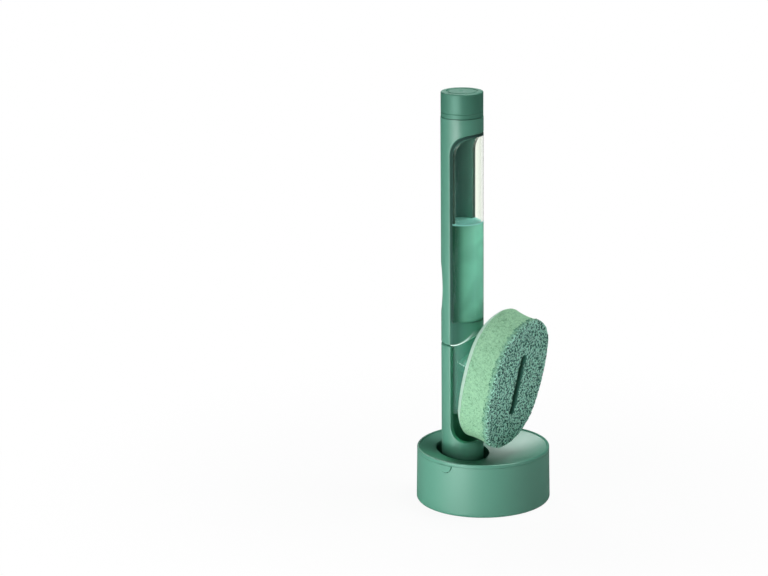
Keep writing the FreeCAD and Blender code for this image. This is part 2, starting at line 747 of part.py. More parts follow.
dome_edge = outline(dome, "dome_outline", "XY_Plane", dome_oval(ZERO))
dome_shell = feature(dome, "Pad", "dome_shell", dome_edge,
                     Length=size.dome_depth, TaperAngle=-size.dome_slope)
dome_shell.Reversed = True
round_end(dome, "dome_rounding", dome_shell, size.dome_round, lowest=True)
dome_inside = outline(dome, "dome_hollow_outline", "XY_Plane", dome_oval(size.dome_wall))
feature(dome, "Pocket", "dome_hollow", dome_inside,
        Length=size.dome_depth - size.dome_wall, TaperAngle=-size.dome_slope)

throat_body = new_body("throat_body", on_head)
feature(throat_body, "Pad", "throat", disc(throat_body, "throat_outline", "XY_Plane", size.throat_radius),
        Length=size.pad_reach).Reversed = True
channel = new_body("channel_body", on_head)
feature(channel, "Pad", "throat_channel", disc(channel, "channel_outline", "XY_Plane", size.throat_bore),
        Length=size.pad_reach).Reversed = True
feature(channel, "Pad", "valve_seat", disc(channel, "valve_seat_outline", "XY_Plane", size.valve_seat_radius),
        Length=size.valve_seat_depth).Reversed = True

dome_and_throat = boolean("Fuse", "dome_and_throat", dome, throat_body)
head_solid = boolean("Fuse", "head_solid", dome_and_throat, neck)
channels = boolean("Fuse", "channels", neck_bore, channel)
head = boolean("Cut", "head", head_solid, channels)
nodes.append(("scrub_head", head))


# Sealing ring between the bottle's outlet and the neck

o_ring = on_axis(doc.addObject("Part::Torus", "o_ring"), bottle_floor_under - size.ring_drop)
bind(o_ring, "Radius1", (size.spigot_radius + size.neck_bore) / 2.0)
bind(o_ring, "Radius2", size.ring_section)
nodes.append(("neck_seal_ring", o_ring))


# Outlet valve of soft rubber, and the ring that holds it in its seat

valve = new_body("valve_body", on_head)
valve_foot = -size.valve_seat_depth
flange_top = valve_foot + size.valve_flange
lip_tip = flange_top + size.valve_lip_length
valve_radius = size.valve_seat_radius - size.valve_gap
turned_valve = outline(valve, "valve_profile", "XZ_Plane", [
    (size.valve_lip_radius - size.valve_skin, valve_foot),
    (valve_radius, valve_foot),
    (valve_radius, flange_top),
    (size.valve_lip_radius, flange_top),
    (size.valve_lip_tip, lip_tip),
    (ZERO, lip_tip),
    (ZERO, lip_tip - size.valve_skin),
    (size.valve_lip_tip - size.valve_skin, lip_tip - size.valve_skin),
])
valve_turning = feature(valve, "Revolution", "valve_turning", turned_valve)
valve_turning.ReferenceAxis = (turned_valve, ["V_Axis"])
valve_turning.Angle = 360
nodes.append(("outlet_valve", valve))

ring = new_body("ring_body", on_head)
ring_outline = disc(ring, "ring_outline", "XY_Plane", valve_radius, raised=flange_top + size.valve_gap,
                    hole=size.valve_ring_bore)
feature(ring, "Pad", "ring", ring_outline, Length=size.valve_ring_thickness)
nodes.append(("valve_ring", ring))


# Refill plate: an oval plate with a lip that grips the head's flange

def pad_oval(inset):
    """The pad's outline, drawn in by an inset."""
    return oval(size.pad_half_length - inset, size.pad_half_width - inset, size.pad_end_radius - inset)


def flange_oval(outset):
    """The head flange's outline, let out by an outset."""
    return oval(size.flange_half_length + outset, size.flange_half_width + outset,
                size.flange_end_radius + outset)


plate = new_body("plate_body", on_head)
plate_outline = outline(plate, "plate_outline", "XY_Plane", pad_oval(size.plate_inset - size.foam_flare),
                        raised=size.plate_gap)
feature(plate, "Pad", "plate", plate_outline, Length=size.plate_thickness)
lip_outline = outline(plate, "lip_outline", "XY_Plane", flange_oval(size.lip_gap + size.lip_wall),
                      raised=size.plate_gap)
feature(plate, "Pad", "lip", lip_outline, Length=size.lip_height).Reversed = True
seat_outline = outline(plate, "flange_seat_outline", "XY_Plane", flange_oval(size.lip_gap),
                       raised=size.plate_gap)
feature(plate, "Pocket", "flange_seat", seat_outline, Length=size.lip_height)
pierce(plate, "valve_hole", disc(plate, "valve_hole_outline", "XY_Plane", size.plate_hole))
nodes.append(("pad_plate", plate))


# Foam block with drawn-in sides, and the scrub layer bonded to its front

foam = new_body("foam_body", on_head)
foam_sections = []
for name, inset, height in (
    ("foam_back", -size.foam_flare, plate_top),
    ("foam_middle", size.foam_waist - size.foam_flare / 2.0, plate_top + size.foam_thickness / 2.0),
    ("foam_front", ZERO, foam_top),
):
    foam_sections.append(outline(foam, name, "XY_Plane", pad_oval(inset), raised=height))
foam_block = feature(foam, "AdditiveLoft", "foam_block", foam_sections[0])
foam_block.Sections = foam_sections[1:]
soap_well = disc(foam, "soap_well_outline", "XY_Plane", size.soap_well_radius,
                 raised=plate_top + size.soap_well_depth)
feature(foam, "Pocket", "soap_well", soap_well, Length=size.soap_well_depth)
soap_slot = slot_corners(size.slot_length, size.slot_width)
pierce(foam, "foam_slot", outline(foam, "foam_slot_outline", "XY_Plane", soap_slot))
nodes.append(("pad_foam", foam))

scrub = new_body("scrub_body", on_head)
scrub_outline = outline(scrub, "scrub_outline", "XY_Plane", pad_oval(ZERO), raised=foam_top)
scrub_pad = feature(scrub, "Pad", "scrub_block", scrub_outline, Length=size.scrub_thickness)
round_end(scrub, "scrub_rounding", scrub_pad, size.scrub_edge)
pierce(scrub, "scrub_slot", outline(scrub, "scrub_slot_outline", "XY_Plane", soap_slot))
nodes.append(("scrub_layer", scrub))


# Test every piece, then write one file for each

doc.recompute()
for item in doc.Objects:
    if "Invalid" in item.State or "Error" in item.State:
        raise RuntimeError(f"{item.Name} failed: {item.State} {item.getStatusString()}")
for name, piece in nodes:
    piece.Label = name
    shape = piece.Shape
    if shape.isNull() or not shape.isValid() or len(shape.Solids) != 1:
        raise RuntimeError(f"{name} is not one sound solid")
os.makedirs("parts", exist_ok=True)
for name, piece in nodes:
    piece.Shape.exportStep(f"parts/{name}.step")
    box = piece.Shape.BoundBox
    print(f"{name:16s} {piece.Shape.Volume / 1000:8.2f} ml  z {box.ZMin:7.2f} to {box.ZMax:7.2f}")
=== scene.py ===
"""Looks of a dish wand standing in its drain stand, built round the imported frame.

Lengths are metres in the part's own frame: +Z up, the scrub face towards -Y.
"""
import json
import math

import bpy
import numpy as np
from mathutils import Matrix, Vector, noise


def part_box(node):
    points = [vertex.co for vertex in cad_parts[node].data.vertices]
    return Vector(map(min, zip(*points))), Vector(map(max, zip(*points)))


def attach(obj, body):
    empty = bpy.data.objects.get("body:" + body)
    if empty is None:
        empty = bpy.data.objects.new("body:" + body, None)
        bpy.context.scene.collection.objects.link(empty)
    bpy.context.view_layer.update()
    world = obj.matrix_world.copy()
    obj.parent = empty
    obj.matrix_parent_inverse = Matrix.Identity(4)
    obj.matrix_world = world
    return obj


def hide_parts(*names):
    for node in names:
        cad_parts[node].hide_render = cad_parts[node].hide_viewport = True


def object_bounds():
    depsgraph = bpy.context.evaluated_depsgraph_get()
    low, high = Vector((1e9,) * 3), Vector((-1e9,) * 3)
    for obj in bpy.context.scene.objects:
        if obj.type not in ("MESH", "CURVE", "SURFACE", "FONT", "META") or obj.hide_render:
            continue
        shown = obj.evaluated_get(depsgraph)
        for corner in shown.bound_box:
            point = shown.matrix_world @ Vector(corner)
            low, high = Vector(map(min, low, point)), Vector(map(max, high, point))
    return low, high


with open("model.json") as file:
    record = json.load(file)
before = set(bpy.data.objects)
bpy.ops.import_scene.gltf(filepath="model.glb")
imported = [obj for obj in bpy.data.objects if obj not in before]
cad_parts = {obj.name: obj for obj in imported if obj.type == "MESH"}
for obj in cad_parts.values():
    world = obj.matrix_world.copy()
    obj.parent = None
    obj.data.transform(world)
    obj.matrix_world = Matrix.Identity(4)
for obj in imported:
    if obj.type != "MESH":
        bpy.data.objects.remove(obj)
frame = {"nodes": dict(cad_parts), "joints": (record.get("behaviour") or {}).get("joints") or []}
cad_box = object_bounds()


# Stand cup
# A round dish moulded in satin green plastic that catches the drips of the wand.
# It stands on a narrow ring, and a boss on its floor takes the foot of the post.

STAND_GREEN = (0.108, 0.35, 0.248)
STAND_ROUGHNESS = 0.45
SATIN_GLOSS, SATIN_GLINT, SATIN_IOR = 1.0, (0.95, 1.0, 0.98), 1.5
FLOW_SIZE, FLOW_SPAN = 0.045, 0.05
RUB_SIZE, RUB_SPAN = 0.009, 0.1
GRAIN_SIZE, GRAIN_STRENGTH, GRAIN_DEPTH = 0.0005, 0.12, 0.00004
MATT_EXTRA = 0.4
NOISE_MIDDLE = 0.5
MIX_LOW, MIX_HIGH, MIX_RESULT = 6, 7, 2


class Wire:
    """An output socket of a material, on which sums are written as Python."""

    def __init__(self, tree, socket=None):
        self.tree = tree
        self.socket = socket

    def node(self, kind, settings, sockets, output=0):
        """Add a node, first its settings and then its sockets, each a value or a wire."""
        made = self.tree.nodes.new("ShaderNode" + kind)
        for name, value in settings.items():
            if name == "stops":
                ramp = made.color_ramp.elements
                for _ in value[2:]:
                    ramp.new(1.0)
                for stop, (place, colour) in zip(ramp, value):
                    stop.position = place
                    stop.color = (*colour, 1.0)
            else:
                setattr(made, name, value)
        for name, value in sockets.items():
            if isinstance(value, Wire):
                self.tree.links.new(value.socket, made.inputs[name])
            else:
                made.inputs[name].default_value = value
        return Wire(self.tree, made.outputs[output])

    def math(self, operation, *values):
        return self.node("Math", {"operation": operation}, dict(enumerate(values)))

    def __add__(self, other):
        return self.math("ADD", self, other)

    def __sub__(self, other):
        return self.math("SUBTRACT", self, other)

    def __rsub__(self, other):
        return self.math("SUBTRACT", other, self)

    def __mul__(self, other):
        return self.math("MULTIPLY", self, other)

    __radd__ = __add__
    __rmul__ = __mul__

    def larger(self, other):
        return self.math("MAXIMUM", self, other)

    def along(self, axis):
        """One axis of these coordinates."""
        return self.node("SeparateXYZ", {}, {0: self}, axis)

    def rise(self, start, full, smooth=False):
        """0 as far as start, 1 from full on and a ramp between; start may be the larger."""
        settings = {"interpolation_type": "SMOOTHSTEP" if smooth else "LINEAR"}
        return self.node("MapRange", settings, {"Value": self, "From Min": start, "From Max": full})

    def between(self, low, high):
        """The colour low where this is 0, high where it is 1."""
        sockets = {0: self}
        for place, colour in ((MIX_LOW, low), (MIX_HIGH, high)):
            sockets[place] = colour if isinstance(colour, Wire) else (*colour, 1.0)
        return self.node("Mix", {"data_type": "RGBA"}, sockets, MIX_RESULT)


def blank_material(name):
    """A material with no nodes yet, and a wire of the piece's own coordinates."""
    material = bpy.data.materials.new(name)
    material.use_nodes = True
    tree = material.node_tree
    tree.nodes.clear()
    return material, Wire(tree).node("TexCoord", {}, {}, "Object")


def surface(coordinates, shader):
    """Close a material with its surface shader."""
    output = coordinates.tree.nodes.new("ShaderNodeOutputMaterial")
    coordinates.tree.links.new(shader.socket, output.inputs["Surface"])


def fine_noise(coordinates, size, detail=2.0):
    """Noise from 0 to 1 whose features are about one size across."""
    sockets = {"Vector": coordinates, "Scale": 1.0 / size, "Detail": detail}
    return coordinates.node("TexNoise", {}, sockets)


def relief(height, strength, depth):
    """The normals of a skin that a pattern raises."""
    return height.node("Bump", {}, {"Height": height, "Strength": strength, "Distance": depth})


def shaded(colour, share):
    """A colour made lighter or darker by a share."""
    return tuple(channel * share for channel in colour)


def mottled(pattern, colour, dark, light):
    """A colour that a pattern takes from a darker share of it to a lighter one."""
    return pattern.between(shaded(colour, dark), shaded(colour, light))


def satin_plastic(name, colour, roughness, glint=SATIN_GLINT, ior=SATIN_IOR, matt=None):
    """Moulded plastic with the fine grain of its mould, faint flow marks and rubbed patches;
    matt gives a wire that is 1 where the mould is blasted rougher."""
    material, place = blank_material(name)
    flow = fine_noise(place, FLOW_SIZE)
    rub = fine_noise(place, RUB_SIZE, detail=3.0)
    dullness = roughness + RUB_SPAN * (rub - NOISE_MIDDLE)
    if matt:
        dullness = dullness + MATT_EXTRA * matt(place)
    surface(place, place.node("BsdfPrincipled", {}, {
        "Base Color": mottled(flow, colour, 1.0 - FLOW_SPAN, 1.0 + FLOW_SPAN),
        "Roughness": dullness,
        "Specular IOR Level": SATIN_GLOSS,
        "Specular Tint": (*glint, 1.0),
        "IOR": ior,
        "Normal": relief(fine_noise(place, GRAIN_SIZE), GRAIN_STRENGTH, GRAIN_DEPTH),
    }))
    return material


def dress(node, material):
    """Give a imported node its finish."""
    for slot in frame["nodes"][node].material_slots:
        slot.material = material


stand_plastic = satin_plastic("stand_green", STAND_GREEN, STAND_ROUGHNESS)
dress("stand_cup", stand_plastic)


# Holder post
# A tube with its front cut away, pressed over the boss of the cup.
# It is the same moulded green as the cup and carries on the line of the handle.

dress("holder_post", stand_plastic)


# Drain tray
# A shallow bowl that hangs in the cup by its rim and lifts out by a half-round tab.
# It is polished a little more than the cup, so that drips run off.

TRAY_ROUGHNESS = 0.36
dress("drain_tray", satin_plastic("tray_green", STAND_GREEN, TRAY_ROUGHNESS))


# Handle shell
# A green tube that opens into a half tube round the bottle, and grips it by an arched window.
# It is moulded in one piece; the thumb scoop in its back is matt, for a sure hold.

HANDLE_ROUGHNESS = 0.42
HANDLE_RADIUS = 0.016
SCOOP_FRONT, SCOOP_BLEND = 0.004, 0.0003
SUNK_START, SUNK_FULL = 0.0001, 0.0003

shell_low, shell_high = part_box("handle_shell")
axis_x = (shell_low.x + shell_high.x) / 2.0
axis_y = shell_high.y - HANDLE_RADIUS


def off_axis(place):
    """How far a point is from the upright axis of the handle."""
    level = place.node("CombineXYZ", {}, {"X": place.along("X"), "Y": place.along("Y")})
    sockets = {0: level, 1: (axis_x, axis_y, 0.0)}
    return place.node("VectorMath", {"operation": "DISTANCE"}, sockets, "Value")


def in_scoop(place):
    """Where the thumb scoop lies: behind the axis and inside the handle's round."""
    sunk = off_axis(place).rise(HANDLE_RADIUS - SUNK_START, HANDLE_RADIUS - SUNK_FULL)
    behind = place.along("Y").rise(axis_y + SCOOP_FRONT, axis_y + SCOOP_FRONT + SCOOP_BLEND)
    return sunk * behind


handle_plastic = satin_plastic("handle_green", STAND_GREEN, HANDLE_ROUGHNESS, matt=in_scoop)
dress("handle_shell", handle_plastic)


# Soap bottle
# A clear tube of hard plastic that swells into a thin front, flush in the window of the shell.
# Where its back is set in the shell it is opaque and painted dark green as shade; its round toe is painted
# shade too, paler in front as painted light, with a painted highlight along its lower edge.
# A screw thread for the cap runs round its neck.

CLEAR_TINT, CLEAR_IOR = (0.965, 1.0, 0.935), 1.49
BOTTLE_HAZE, BOTTLE_GLINT = 0.03, (0.015, 0.02, 0.02)
SMEAR_SIZE, SMEAR_LEAST = 0.006, 0.5
RIPPLE_SIZE, RIPPLE_STRENGTH, RIPPLE_DEPTH = 0.02, 0.01, 0.0002
MILKY_ROUGHNESS = 0.5
TINT_BLEND = 0.0006
# Painted shade of the bottle inside the shell: dark green, deeper towards the back and darkest on the rim.
BACK_SHADE, BACK_DEEPER_SHADE, RIM_SHADE = (0.095, 0.215, 0.19), (0.052, 0.129, 0.124), (0.035, 0.085, 0.07)
REAR_START, REAR_FULL = 0.006, 0.011
ARCH_START, ARCH_FRONT, ARCH_REACH = 0.2648, 0.0162, 0.0138
SET_IN_TOP, RIM_INSIDE = 0.29, 0.0116
# The toe's painted shade, the painted light of its front and the painted highlight along its lower edge.
TOE_TINT, TOE_SHADE, TOE_FRONT_LIGHT = (0.42, 0.68, 0.6), (0.052, 0.155, 0.115), (0.13, 0.38, 0.27)
TOE_TOP, TOE_BLEND, TOE_PAINT_SHARE = 0.1376, 0.0022, 0.75
TOE_FRONT_START, TOE_FRONT_FULL = -0.006, -0.0155
TOE_EDGE_HIGHLIGHT, TOE_RADIUS, TOE_EDGE = (0.8, 0.97, 0.9), 0.016, 0.0005
TOE_EDGE_START, TOE_EDGE_FULL = -0.004, -0.011
TUBE_RADIUS = 0.0126
THREAD_LOW, THREAD_PITCH, THREAD_TURNS, THREAD_STEPS = 0.2945, 0.003, 2.4, 260
THREAD_PROUD, THREAD_LEAST, THREAD_WIDTH, THREAD_SINK = 0.0007, 0.0001, 0.0014, 0.0003
FOOT_SHARE, FLANK_SHARE, CREST_SHARE, RUN_OUT_SHARE = 0.5, 0.42, 0.16, 0.125


def is_ray(place, kind):
    """1 for one kind of ray, 0 for the others."""
    return place.node("LightPath", {}, {}, kind)


def lit_through(place, shader, passing):
    """Close a material that lets light through to what is behind it, in the tint passing."""
    passed = place.node("BsdfTransparent", {}, {"Color": (*passing, 1.0)})
    sockets = {0: is_ray(place, "Is Shadow Ray"), 1: shader, 2: passed}
    surface(place, place.node("MixShader", {}, sockets))


def clear_plastic(place, tint, passing, haze, glint, clear, milk_and_shade_share, milk):
    """Close a material as clear hard plastic, with faint ripples and the haze of handling; the share that
    isn't clear takes the colour milk, which is milky on the head's neck and painted shade and highlight on
    the bottle."""
    smear = fine_noise(place, SMEAR_SIZE, detail=3.0)
    see_through = place.node("BsdfPrincipled", {}, {
        "Base Color": tint,
        "Roughness": haze * (SMEAR_LEAST + smear),
        "IOR": CLEAR_IOR,
        "Specular Tint": (*glint, 1.0),
        "Transmission Weight": clear,
        "Normal": relief(fine_noise(place, RIPPLE_SIZE), RIPPLE_STRENGTH, RIPPLE_DEPTH),
    })
    painted = place.node("BsdfPrincipled", {}, {
        "Base Color": milk,
        "Roughness": MILKY_ROUGHNESS,
        "Specular Tint": (*glint, 1.0),
    })
    lit_through(place, place.node("MixShader", {}, {0: milk_and_shade_share, 1: see_through, 2: painted}), passing)


def from_loops(name, loops, material, closed=True):
    """A smooth mesh from rings of points; with closed the last ring joins the first, and else
    the first and the last ring are filled."""
    count = len(loops[0])
    step = np.arange(count)
    beside = (step + 1) % count
    faces = []
    for ring in range(len(loops) if closed else len(loops) - 1):
        here, there = ring * count, (ring + 1) % len(loops) * count
        faces += np.stack([here + step, here + beside, there + beside, there + step], axis=1).tolist()
    if not closed:
        faces += [step[::-1].tolist(), (step + (len(loops) - 1) * count).tolist()]
    mesh = bpy.data.meshes.new(name)
    mesh.from_pydata(np.concatenate(loops).tolist(), [], faces)
    mesh.polygons.foreach_set("use_smooth", [True] * len(mesh.polygons))
    mesh.materials.append(material)
    piece = bpy.data.objects.new(name, mesh)
    bpy.context.collection.objects.link(piece)
    return piece


bottle_plastic, place = blank_material("bottle_clear")
height = place.along("Z")
behind_axis = place.along("Y") - axis_y
above_toe = height - (shell_low.z + TOE_RADIUS)
from_toe = place.math("SQRT", behind_axis * behind_axis + above_toe * above_toe)
in_toe = height.rise(TOE_TOP + TOE_BLEND, TOE_TOP)
# The toe is painted: dark green as shade, lighter towards its front as painted light, and a pale line along
# its lower edge as a painted highlight.
toe_front = behind_axis.rise(TOE_FRONT_START, TOE_FRONT_FULL)
toe_edge = (from_toe.rise(TOE_RADIUS - TOE_EDGE - TINT_BLEND, TOE_RADIUS - TOE_EDGE)
            * above_toe.rise(TOE_EDGE_START, TOE_EDGE_FULL))
toe_shade_and_highlight = toe_edge.between(toe_front.between(TOE_SHADE, TOE_FRONT_LIGHT), TOE_EDGE_HIGHLIGHT)

# Where the bottle sits in the shell it is made opaque and painted as shade, deeper towards the back and on
# its rim.
above_arch = (height - ARCH_START).larger(0.0)
behind_front = behind_axis + ARCH_FRONT
from_arch = place.math("SQRT", above_arch * above_arch + behind_front * behind_front)
past_rim = from_arch.rise(ARCH_REACH, ARCH_REACH + TINT_BLEND)
in_shell = past_rim * height.rise(SET_IN_TOP, SET_IN_TOP - TINT_BLEND)
on_rim = off_axis(place).rise(RIM_INSIDE, RIM_INSIDE + TINT_BLEND)
rearmost = behind_axis.rise(REAR_START, REAR_FULL)
back_shade = on_rim.between(rearmost.between(BACK_SHADE, BACK_DEEPER_SHADE), RIM_SHADE)

clear_plastic(place, in_toe.between(CLEAR_TINT, TOE_TINT), CLEAR_TINT, BOTTLE_HAZE, BOTTLE_GLINT, 1.0,
              milk_and_shade_share=(in_toe * TOE_PAINT_SHARE).larger(in_shell).larger(toe_edge),
              milk=in_toe.between(back_shade, toe_shade_and_highlight))
dress("soap_bottle", bottle_plastic)

ridge = []
for share in np.linspace(0.0, 1.0, THREAD_STEPS):
    turned = 2.0 * math.pi * THREAD_TURNS * share
    full = min(1.0, share / RUN_OUT_SHARE, (1.0 - share) / RUN_OUT_SHARE)
    crest = THREAD_PROUD * full + THREAD_LEAST
    section = [(-THREAD_SINK, -FOOT_SHARE), (crest / 2.0, -FLANK_SHARE), (crest, -CREST_SHARE)]
    section += [(out, -across) for out, across in reversed(section)]
    out, across = np.array(section).T
    radius = TUBE_RADIUS + out
    level = THREAD_LOW + THREAD_PITCH * THREAD_TURNS * share + across * THREAD_WIDTH
    x, y = axis_x + radius * math.cos(turned), axis_y + radius * math.sin(turned)
    ridge.append(np.stack([x, y, level], axis=1))
thread = from_loops("bottle_thread", ridge, bottle_plastic, closed=False)
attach(thread, "wand")


# Soap
# Green dish soap, cloudy with faint swirls, that fills the lower half of the bottle, its outlet and the neck.
# It wets the walls, so its edge climbs them and no air lies between it and the plastic.

# The soap's colour holds painted light: painted shade at its sides and in the neck, painted light in its
# middle and a painted sheen on its top.
SOAP_GREEN, SOAP_LIT_MIDDLE, SOAP_SIDE_SHADE = (0.118, 0.338, 0.25), (0.195, 0.525, 0.41), (0.016, 0.066, 0.045)
SOAP_NECK_SHADE, SOAP_SURFACE_SHEEN = (0.066, 0.26, 0.198), (0.22, 0.54, 0.53)
SOAP_SIDE, SOAP_CORE, SOAP_MIDDLE = 0.0146, 0.0105, 0.004
SOAP_TINT, SOAP_IOR, SOAP_ROUGHNESS, SOAP_FILM = (0.62, 0.95, 0.8), 1.36, 0.05, 0.1
CLOUD_SIZE, CLOUD_SPAN = 0.018, 0.3
SWIRL_SIZE, SWIRL_WIDTH, SWIRL_DARK = 0.04, 0.08, 0.16
WETTING = 0.0002
MENISCUS_RISE, MENISCUS_REACH = 0.0009, 0.0022
MENISCUS_SHARES = (0.0, 0.1, 0.25, 0.45, 0.7, 1.0)
NECK_BORE, OUTLET_BORE, OUTLET_RADIUS = 0.0086, 0.0044, 0.0072
TUBE_BORE, FRONT_BORE, FRONT_SIDE = 0.0112, 0.0144, 0.0018
BOTTLE_FLOOR, OUTLET_FOOT, SEAL_HEIGHT = 0.138, 0.1306, 0.133
FLOOR_ROUND, FLOOR_STEPS = 0.003, 8
BACK_POINTS, FRONT_POINTS, SIDE_POINTS = 90, 90, 10


def bottle_loop(inset, height):
    """A ring of points inside the bottle: its round back and its wider front, drawn in by an inset."""
    back, front, side = TUBE_BORE - inset, FRONT_BORE - inset, FRONT_SIDE + inset
    back_turn, front_turn = math.asin(side / back), math.asin(side / front)
    round_back = np.linspace(-back_turn, math.pi + back_turn, BACK_POINTS)
    round_front = np.linspace(math.pi + front_turn, 2.0 * math.pi - front_turn, FRONT_POINTS)
    across = np.linspace(back * math.cos(back_turn), front * math.cos(front_turn), SIDE_POINTS + 2)[1:-1]
    x = np.concatenate([back * np.cos(round_back), -across, front * np.cos(round_front), across[::-1]])
    y = np.concatenate([back * np.sin(round_back), np.full(SIDE_POINTS, -side),
                        front * np.sin(round_front), np.full(SIDE_POINTS, -side)])
    return np.stack([axis_x + x, axis_y + y, np.full(len(x), height)], axis=1)


def round_loop(radius, height):
    """A ring of points of a round bore, in step with those inside the bottle."""
    around = bottle_loop(0.0, height)
    turn = np.arctan2(around[:, 1] - axis_y, around[:, 0] - axis_x)
    return np.stack([axis_x + radius * np.cos(turn), axis_y + radius * np.sin(turn), around[:, 2]], axis=1)


soap_low, soap_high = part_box("soap")
bores = [
    (NECK_BORE + WETTING, soap_low.z - WETTING),
    (NECK_BORE + WETTING, SEAL_HEIGHT),
    (OUTLET_RADIUS - WETTING, SEAL_HEIGHT),
    (OUTLET_RADIUS - WETTING, OUTLET_FOOT + WETTING),
    (OUTLET_BORE + WETTING, OUTLET_FOOT + WETTING),
    (OUTLET_BORE + WETTING, BOTTLE_FLOOR - WETTING),
]
loops = [round_loop(radius, level) for radius, level in bores]
for tilt in np.linspace(0.0, math.pi / 2.0, FLOOR_STEPS):
    loops.append(bottle_loop(FLOOR_ROUND * (1.0 - math.sin(tilt)) - WETTING,
                             BOTTLE_FLOOR - WETTING + FLOOR_ROUND * (1.0 - math.cos(tilt))))
for share in MENISCUS_SHARES:
    loops.append(bottle_loop(MENISCUS_REACH * share - WETTING,
                             soap_high.z + MENISCUS_RISE * (1.0 - share) ** 2))

soap_liquid, place = blank_material("soap_green")
sideways = place.math("ABSOLUTE", place.along("X"))
height = place.along("Z")
# Painted shade darkens the soap towards the sides and down in the neck; painted light brightens its middle,
# and its top is a painted sheen.
inward = sideways.rise(SOAP_SIDE, SOAP_CORE, smooth=True)
centred = sideways.rise(SOAP_CORE, SOAP_MIDDLE)
in_neck = height.rise(BOTTLE_FLOOR, OUTLET_FOOT)
on_top = height.rise(soap_high.z - WETTING, soap_high.z)
cloud = fine_noise(place, CLOUD_SIZE, detail=3.0)
off_swirl = place.math("ABSOLUTE", fine_noise(place, SWIRL_SIZE, detail=1.0) - NOISE_MIDDLE)
swirl = off_swirl.rise(SWIRL_WIDTH, 0.0, smooth=True)
clouding = (1.0 + CLOUD_SPAN * (cloud - NOISE_MIDDLE)) * (1.0 - SWIRL_DARK * swirl)
cloudy = place.node("Mix", {"data_type": "RGBA", "blend_type": "MULTIPLY"}, {
    0: 1.0, MIX_LOW: centred.between(SOAP_GREEN, SOAP_LIT_MIDDLE), MIX_HIGH: clouding}, MIX_RESULT)
below_top = in_neck.between(inward.between(SOAP_SIDE_SHADE, cloudy), SOAP_NECK_SHADE)
lit_through(place, place.node("BsdfPrincipled", {}, {
    "Base Color": on_top.between(below_top, SOAP_SURFACE_SHEEN),
    "Roughness": SOAP_ROUGHNESS,
    "IOR": SOAP_IOR,
    "Specular Tint": (*BOTTLE_GLINT, 1.0),
    "Coat Weight": on_top,
    "Coat Roughness": SOAP_FILM,
    "Coat IOR": SOAP_IOR,
}), SOAP_TINT)
soap = from_loops("soap_fill", loops, soap_liquid, closed=False)
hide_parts("soap")
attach(soap, "wand")


# Screw cap and its seal
# A moulded cap of a deeper green than the handle, with a plain ring groove in its top.
# A soft disc under its roof closes the mouth of the bottle.

CAP_GREEN, CAP_ROUGHNESS = (0.07, 0.25, 0.172), 0.48
CAP_GLINT, CAP_IOR = (0.6, 1.0, 0.86), 1.6
SEAL_PALE, SEAL_ROUGHNESS = (0.34, 0.56, 0.46), 0.6
DUST_SIZE, DUST_SPAN, DUST_DARK, DUST_LIGHT = 0.005, 0.16, 0.9, 1.08
RUBBER_GRAIN, RUBBER_STRENGTH, RUBBER_DEPTH = 0.0004, 0.2, 0.00005


def soft_rubber(name, colour, roughness):
    """Soft moulded rubber with a dusty, even grain."""
    material, place = blank_material(name)
    dust = fine_noise(place, DUST_SIZE, detail=4.0)
    surface(place, place.node("BsdfPrincipled", {}, {
        "Base Color": mottled(dust, colour, DUST_DARK, DUST_LIGHT),
        "Roughness": roughness + DUST_SPAN * (dust - NOISE_MIDDLE),
        "Normal": relief(fine_noise(place, RUBBER_GRAIN), RUBBER_STRENGTH, RUBBER_DEPTH),
    }))
    return material


dress("cap", satin_plastic("cap_green", CAP_GREEN, CAP_ROUGHNESS, CAP_GLINT, CAP_IOR))
seal_rubber = soft_rubber("seal_pale", SEAL_PALE, SEAL_ROUGHNESS)
dress("cap_seal", seal_rubber)


# Scrub head
# One clear moulding: an upright neck that drops into the post, a throat and an oval dome.
# Its neck is thick and a little milky, and a rubber ring seals it to the outlet of the bottle.

HEAD_TINT, HEAD_GLINT = (0.52, 0.86, 0.74), (0.5, 0.6, 0.6)
HEAD_HAZE, HEAD_CLEAR = 0.05, 0.9
NECK_GREEN, NECK_RADIUS, NECK_MILK = (0.07, 0.225, 0.163), 0.0126, 0.4

head_plastic, place = blank_material("head_clear")
in_neck = off_axis(place).rise(NECK_RADIUS + TINT_BLEND, NECK_RADIUS)
clear_plastic(place, (*HEAD_TINT, 1.0), HEAD_TINT, HEAD_HAZE, HEAD_GLINT, HEAD_CLEAR,
              milk_and_shade_share=NECK_MILK * in_neck, milk=(*NECK_GREEN, 1.0))
dress("scrub_head", head_plastic)
dress("neck_seal_ring", seal_rubber)


# Outlet valve
# A lip of soft pale rubber in the middle of the head, which lets soap out when the pad is pressed.
# A clear ring snaps over its flange and holds it.

VALVE_PALE, VALVE_ROUGHNESS = (0.72, 0.78, 0.74), 0.5
dress("outlet_valve", soft_rubber("valve_pale", VALVE_PALE, VALVE_ROUGHNESS))
dress("valve_ring", head_plastic)


# Refill plate
# A plate of frosted plastic that the foam is bonded to, milky inside and finely etched outside.
# Its lip snaps over the flange of the head.

PLATE_PALE, PLATE_ROUGHNESS, PLATE_CLEAR = (0.58, 0.82, 0.69), 0.38, 0.35
MILK_SIZE, MILK_SPAN, MILK_DULL = 0.004, 0.05, 0.1
FROST_SIZE, FROST_STRENGTH, FROST_DEPTH = 0.0003, 0.25, 0.00005

frosted, place = blank_material("plate_frosted")
milk = fine_noise(place, MILK_SIZE, detail=3.0)
surface(place, place.node("BsdfPrincipled", {}, {
    "Base Color": mottled(milk, PLATE_PALE, 1.0 - MILK_SPAN, 1.0 + MILK_SPAN),
    "Roughness": PLATE_ROUGHNESS + MILK_DULL * milk,
    "IOR": CLEAR_IOR,
    "Transmission Weight": PLATE_CLEAR,
    "Normal": relief(fine_noise(place, FROST_SIZE), FROST_STRENGTH, FROST_DEPTH),
}))
dress("pad_plate", frosted)
